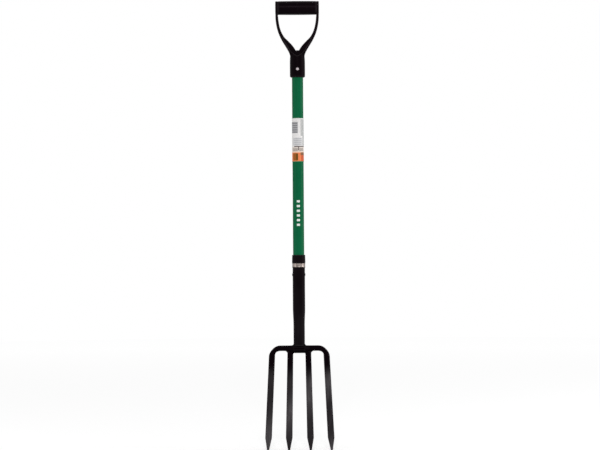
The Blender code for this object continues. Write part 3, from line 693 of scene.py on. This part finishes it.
def black_lacquer(name, roughness, greyer_from, greyer_to, greying, sheen_banded=False, grained=True):
    """Black paint on steel, greyer and more streaked from one height down to another: worn paint, and on
    the tines also a painted sheen. A banded lacquer also gets slanted bands of painted sheen.
    """
    finish, tree, shader, place = new_finish(name, roughness, specular=0.02)
    shader.inputs["Specular Tint"].default_value = BLACK_GLOSS
    body = use_group(
        tree, cloudy_tone, {"Place": place, "Base": PAINT_BLACK, "Other": PAINT_OTHER, "Scale": 26.0}
    )
    streaks = use_group(tree, rub_marks, {"Place": place, "Scale": 230.0, "Threshold": 0.50})["Mask"]
    cloud_or_sheen_bands = (body["Cloud"], CLOUDS_LEAST)
    # Slanted bands of painted sheen, standing in for the light that the dished tines catch.
    if sheen_banded:
        slanted = add_node(
            tree, "ShaderNodeMapping", {"Vector": place, "Rotation": (0.0, SHEEN_BAND_SLANT, 0.0)}
        ).outputs[0]
        sheen_wave = add_node(
            tree, "ShaderNodeTexWave",
            {"Vector": slanted, "Scale": SHEEN_BAND_SCALE, "Phase Offset": SHEEN_BAND_PHASE, "Distortion": 0.9,
             "Detail": 2.0, "Detail Scale": 3.0},
            bands_direction="Z",
        ).outputs["Fac"]
        cloud_or_sheen_bands = (math_node(tree, "MULTIPLY", sheen_wave, sheen_wave), SHEEN_BANDS_LEAST)
    # Greyer downwards: worn paint, and on the tines also a painted sheen.
    height = add_node(tree, "ShaderNodeSeparateXYZ", {0: place}).outputs["Z"]
    wear_and_sheen = add_node(
        tree, "ShaderNodeMapRange",
        {"Value": height, "From Min": greyer_from, "From Max": greyer_to, "To Min": 0.0, "To Max": greying},
        interpolation_type="SMOOTHSTEP",
    ).outputs["Result"]
    for mask, least in ((streaks, STREAKS_LEAST), cloud_or_sheen_bands):
        kept = add_node(tree, "ShaderNodeMapRange", {"Value": mask, "To Min": least, "To Max": 1.0})
        wear_and_sheen = math_node(tree, "MULTIPLY", wear_and_sheen, kept.outputs["Result"])
    edges = use_group(tree, worn_and_highlit_edges, {"Start": 0.51, "End": 0.56, "Share": 0.30})["Mask"]
    paler_share = math_node(tree, "MAXIMUM", wear_and_sheen, edges)
    colour = laid_over(tree, paler_share, body["Color"], PAINT_RUBBED_AND_SHEEN)
    tree.links.new(colour, shader.inputs["Base Color"])
    vary_gloss(tree, shader, body["Cloud"], glossy=roughness - 0.06, dull=roughness + 0.08)
    if grained:
        scale = use_group(tree, fine_grain, {"Place": place, "Scale": 260.0})["Height"]
        raise_surface(tree, shader, scale, strength=0.22, depth=0.0005)
    return finish


outer = [(high.x, high.z)]
for step in range(SWAGE_STEPS + 1):
    share = step / SWAGE_STEPS
    ease = share * share * (3 - 2 * share)
    along = low.z + NECK_HEIGHT + SWAGE_HEIGHT * (1 - share)
    outer.append((high.x + (NECK_RADIUS - high.x) * ease, along))
outer.append((NECK_RADIUS, low.z - WELD_SINK))
inner = [(radius - SOCKET_WALL, along) for radius, along in reversed(outer)]
shape = turned_shape(outer + inner, TURNED_STEPS)
soften(shape, CUT_EDGE, rounds=1, turn=SQUARE_TURN)
socket_black = black_lacquer("socket_black", roughness=0.42, greyer_from=-0.60, greyer_to=-0.88, greying=0.10)
finished_piece("socket", shape, "socket_tube", socket_black)

# Socket rivet: a steel rivet set through the socket and the shaft, left to right, its heads hammered low
# and painted over with the socket.
low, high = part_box("socket_rivet")
SET_DOWN = 0.0008
left_to_right = Matrix.Translation((low + high) / 2) @ Matrix.Rotation(math.pi / 2, 4, "Y")
shape = rivet_shape(
    (high.z - low.z) / 2, (high.x - low.x) / 2 - SET_DOWN, HEAD_HEIGHT - SET_DOWN, left_to_right
)
finished_piece("painted_rivet", shape, "socket_rivet", socket_black, crisp=EASED_TURN)

# Tines: two forged steel bars. The outer bow is bent into the crossbar and the outer pair of tines; the
# inner bow lies under it and carries the inner pair. All four are flat in front with bevelled sides,
# dished forward and drawn to blunt points. Their black lacquer is painted greyer towards the points,
# partly as worn paint and partly as a painted sheen, and slanted bands of painted sheen run across them.
tine_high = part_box("outer_tine_bow")[1]
FORGED_EDGE = 0.0011
FORGED_TURN = 24.0
FORGED_CRISP = 30.0
JOIN_FLATNESS = math.radians(30.0)
JOIN_SQUARENESS = math.radians(60.0)
FLAT_CUTS = 5
LONE_FLAT = 0.00006
LONE_HOLD = 0.0018
TOP_SKIN = 0.0012
GREYING_STARTS = 0.048
GREYING_FULL = 0.100


def forged_shape(node):
    """A copy of a bow in long four-sided faces, with its edges eased."""
    shape = merged_copy(node)
    bmesh.ops.join_triangles(
        shape, faces=shape.faces, angle_face_threshold=JOIN_FLATNESS,
        angle_shape_threshold=JOIN_SQUARENESS,
    )
    rounded = set(soften(shape, FORGED_EDGE, rounds=3, turn=FORGED_TURN))
    across = [e for e in shape.edges if not any(face in rounded for face in e.link_faces)]
    inside = set(across)
    lone = [
        face for face in shape.faces
        if face not in rounded and face.calc_area() > LONE_FLAT
        and not any(e in inside for e in face.edges)
    ]
    bmesh.ops.inset_individual(shape, faces=lone, thickness=LONE_HOLD, use_even_offset=True)
    bmesh.ops.subdivide_edges(shape, edges=across, cuts=FLAT_CUTS, use_grid_fill=True)
    return shape


# The tines' lacquer is painted greyer towards the points, partly as wear and partly as sheen, with
# slanted bands of painted sheen.
forged_black = black_lacquer(
    "forged_black", roughness=0.40, greyer_from=tine_high.z - GREYING_STARTS,
    greyer_to=tine_high.z - GREYING_FULL, greying=1.0, sheen_banded=True,
)
for name, node, lift in (
    ("outer_tines", "outer_tine_bow", 0.0), ("inner_tines", "inner_tine_bow", WELD_SINK),
):
    shape = forged_shape(node)
    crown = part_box(node)[1].z - TOP_SKIN
    top = [v for v in shape.verts if v.co.z > crown]
    bmesh.ops.translate(shape, verts=top, vec=(0.0, 0.0, lift))
    finished_piece(name, shape, node, forged_black, crisp=FORGED_CRISP)

# Welds: short fillets round the sides of the neck on the crossbar, and under the crossbar outside the
# inner tines. Each lies tight in its corner in a row of overlapping ripples, painted over with the head.
BEAD_GRID = 0.0004
BEAD_SMOOTHING = 2
BEAD_SINK = 0.0005
weld_black = black_lacquer(
    "weld_black", roughness=0.46, greyer_from=0.0, greyer_to=-2.0, greying=0.1, grained=False
)
tree = weld_black.node_tree
place = tree.nodes["Texture Coordinate"].outputs["Object"]
ripples = add_node(
    tree, "ShaderNodeTexWave", {"Vector": place, "Scale": 190.0, "Distortion": 1.5}, bands_direction="Y"
).outputs["Fac"]
raise_surface(tree, tree.nodes["Principled BSDF"], ripples, strength=0.6, depth=0.0006)
for node, inwards, upwards in (
    ("neck_weld_left", 1, -1), ("neck_weld_right", -1, -1),
    ("inner_weld_left", 1, 1), ("inner_weld_right", -1, 1),
):
    shape = moulded_shape(node, BEAD_GRID, BEAD_SMOOTHING)
    into_corner = (inwards * BEAD_SINK, 0.0, upwards * BEAD_SINK)
    bmesh.ops.translate(shape, verts=shape.verts, vec=into_corner)
    finished_piece(node + "_bead", shape, node, weld_black, crisp=ALL_SMOOTH)

# Floor: a plain pale round sheet just under the points, matt, which keeps the fork's soft shadow and
# runs out into the white of the room.
FLOOR_DROP = 0.0006
FLOOR_RADIUS = 6.0
FLOOR_STEPS = 96
FLOOR_PALE = (0.86, 0.86, 0.86, 1.0)
WHITE = (1.0, 1.0, 1.0, 1.0)
LEVEL_ONLY = (1.0, 1.0, 0.0)


def seen_directly(tree):
    """One for what the camera, a gloss or a clear piece shows, and zero for what only lights the fork."""
    ray = tree.nodes.new("ShaderNodeLightPath").outputs
    seen = math_node(tree, "MAXIMUM", ray["Is Camera Ray"], ray["Is Glossy Ray"])
    return math_node(tree, "MAXIMUM", seen, ray["Is Transmission Ray"])


shape = bmesh.new()
bmesh.ops.create_circle(shape, cap_ends=True, segments=FLOOR_STEPS, radius=FLOOR_RADIUS)
bmesh.ops.translate(shape, verts=shape.verts, vec=(0.0, 0.0, cad_box[0][2] - FLOOR_DROP))
mesh = bpy.data.meshes.new("floor")
shape.to_mesh(mesh)
shape.free()
floor = bpy.data.objects.new("floor", mesh)
bpy.context.scene.collection.objects.link(floor)
pale_floor = bpy.data.materials.new("pale_floor")
pale_floor.use_nodes = True
tree = pale_floor.node_tree
tree.nodes.remove(tree.nodes["Principled BSDF"])
place = tree.nodes.new("ShaderNodeTexCoord").outputs["Object"]
level_place = vector_node(tree, "MULTIPLY", place, LEVEL_ONLY)
away = add_node(
    tree, "ShaderNodeVectorMath", {0: level_place}, operation="LENGTH"
).outputs["Value"]
brighter = add_node(
    tree, "ShaderNodeMapRange",
    {"Value": away, "From Min": 0.3, "From Max": 5.0, "To Min": 0.37, "To Max": 0.50},
).outputs["Result"]
glow_level = math_node(tree, "MULTIPLY", seen_directly(tree), brighter)
matt = add_node(tree, "ShaderNodeBsdfDiffuse", {"Color": FLOOR_PALE})
glow = add_node(tree, "ShaderNodeEmission", {"Color": WHITE, "Strength": glow_level})
both = add_node(tree, "ShaderNodeAddShader", {0: matt.outputs[0], 1: glow.outputs[0]})
tree.links.new(both.outputs[0], tree.nodes["Material Output"].inputs["Surface"])
mesh.materials.append(pale_floor)

# Light: a large soft box at the right, a weaker one at the left, a small one above the camera and a
# white room round them.
ROOM_LEVEL = 0.55
FORK_MIDDLE = Vector((0.0, 0.0, -0.56))
world = bpy.data.worlds.new("white_room")
bpy.context.scene.world = world
world.use_nodes = True
tree = world.node_tree
backdrop = tree.nodes["Background"]
backdrop.inputs["Color"].default_value = WHITE
level = add_node(
    tree, "ShaderNodeMapRange", {"Value": seen_directly(tree), "To Min": ROOM_LEVEL, "To Max": 1.0}
)
tree.links.new(level.outputs["Result"], backdrop.inputs["Strength"])
for name, spot, width, height, power in (
    ("key_box", Vector((3.4, -0.6, -0.3)), 1.2, 2.4, 52.0),
    ("fill_box", Vector((-3.0, -1.6, -0.3)), 1.2, 2.4, 18.0),
    ("front_box", Vector((0.0, -4.3, 1.45)), 0.9, 0.9, 52.0),
):
    lamp = bpy.data.lights.new(name, "AREA")
    lamp.shape = "RECTANGLE"
    lamp.size = width
    lamp.size_y = height
    lamp.energy = power
    holder = bpy.data.objects.new(name, lamp)
    bpy.context.scene.collection.objects.link(holder)
    holder.location = spot
    holder.rotation_euler = (FORK_MIDDLE - spot).to_track_quat("-Z", "Y").to_euler()

# Camera: level with the middle of the fork and square to its front, far enough off that the fork
# keeps its proportions, and turned by the photograph's slight lean.
IMAGE_WIDTH = 600.0
METRES_PER_PIXEL = 0.002674
VIEW_DISTANCE = 6.0
VIEW_CENTRE = Vector((0.0041, 0.0, -0.5617))
LEAN = math.radians(0.38)
camera_data = bpy.data.cameras.new("camera")
camera_data.sensor_width = 36.0
camera_data.lens = camera_data.sensor_width * VIEW_DISTANCE / (IMAGE_WIDTH * METRES_PER_PIXEL)
camera = bpy.data.objects.new("camera", camera_data)
bpy.context.scene.collection.objects.link(camera)
camera.location = VIEW_CENTRE + Vector((0.0, -VIEW_DISTANCE, 0.0))
camera.rotation_euler = (Matrix.Rotation(LEAN, 3, "Y") @ Matrix.Rotation(math.pi / 2, 3, "X")).to_euler()
bpy.context.scene.camera = camera
bpy.context.scene.view_settings.view_transform = "Standard"
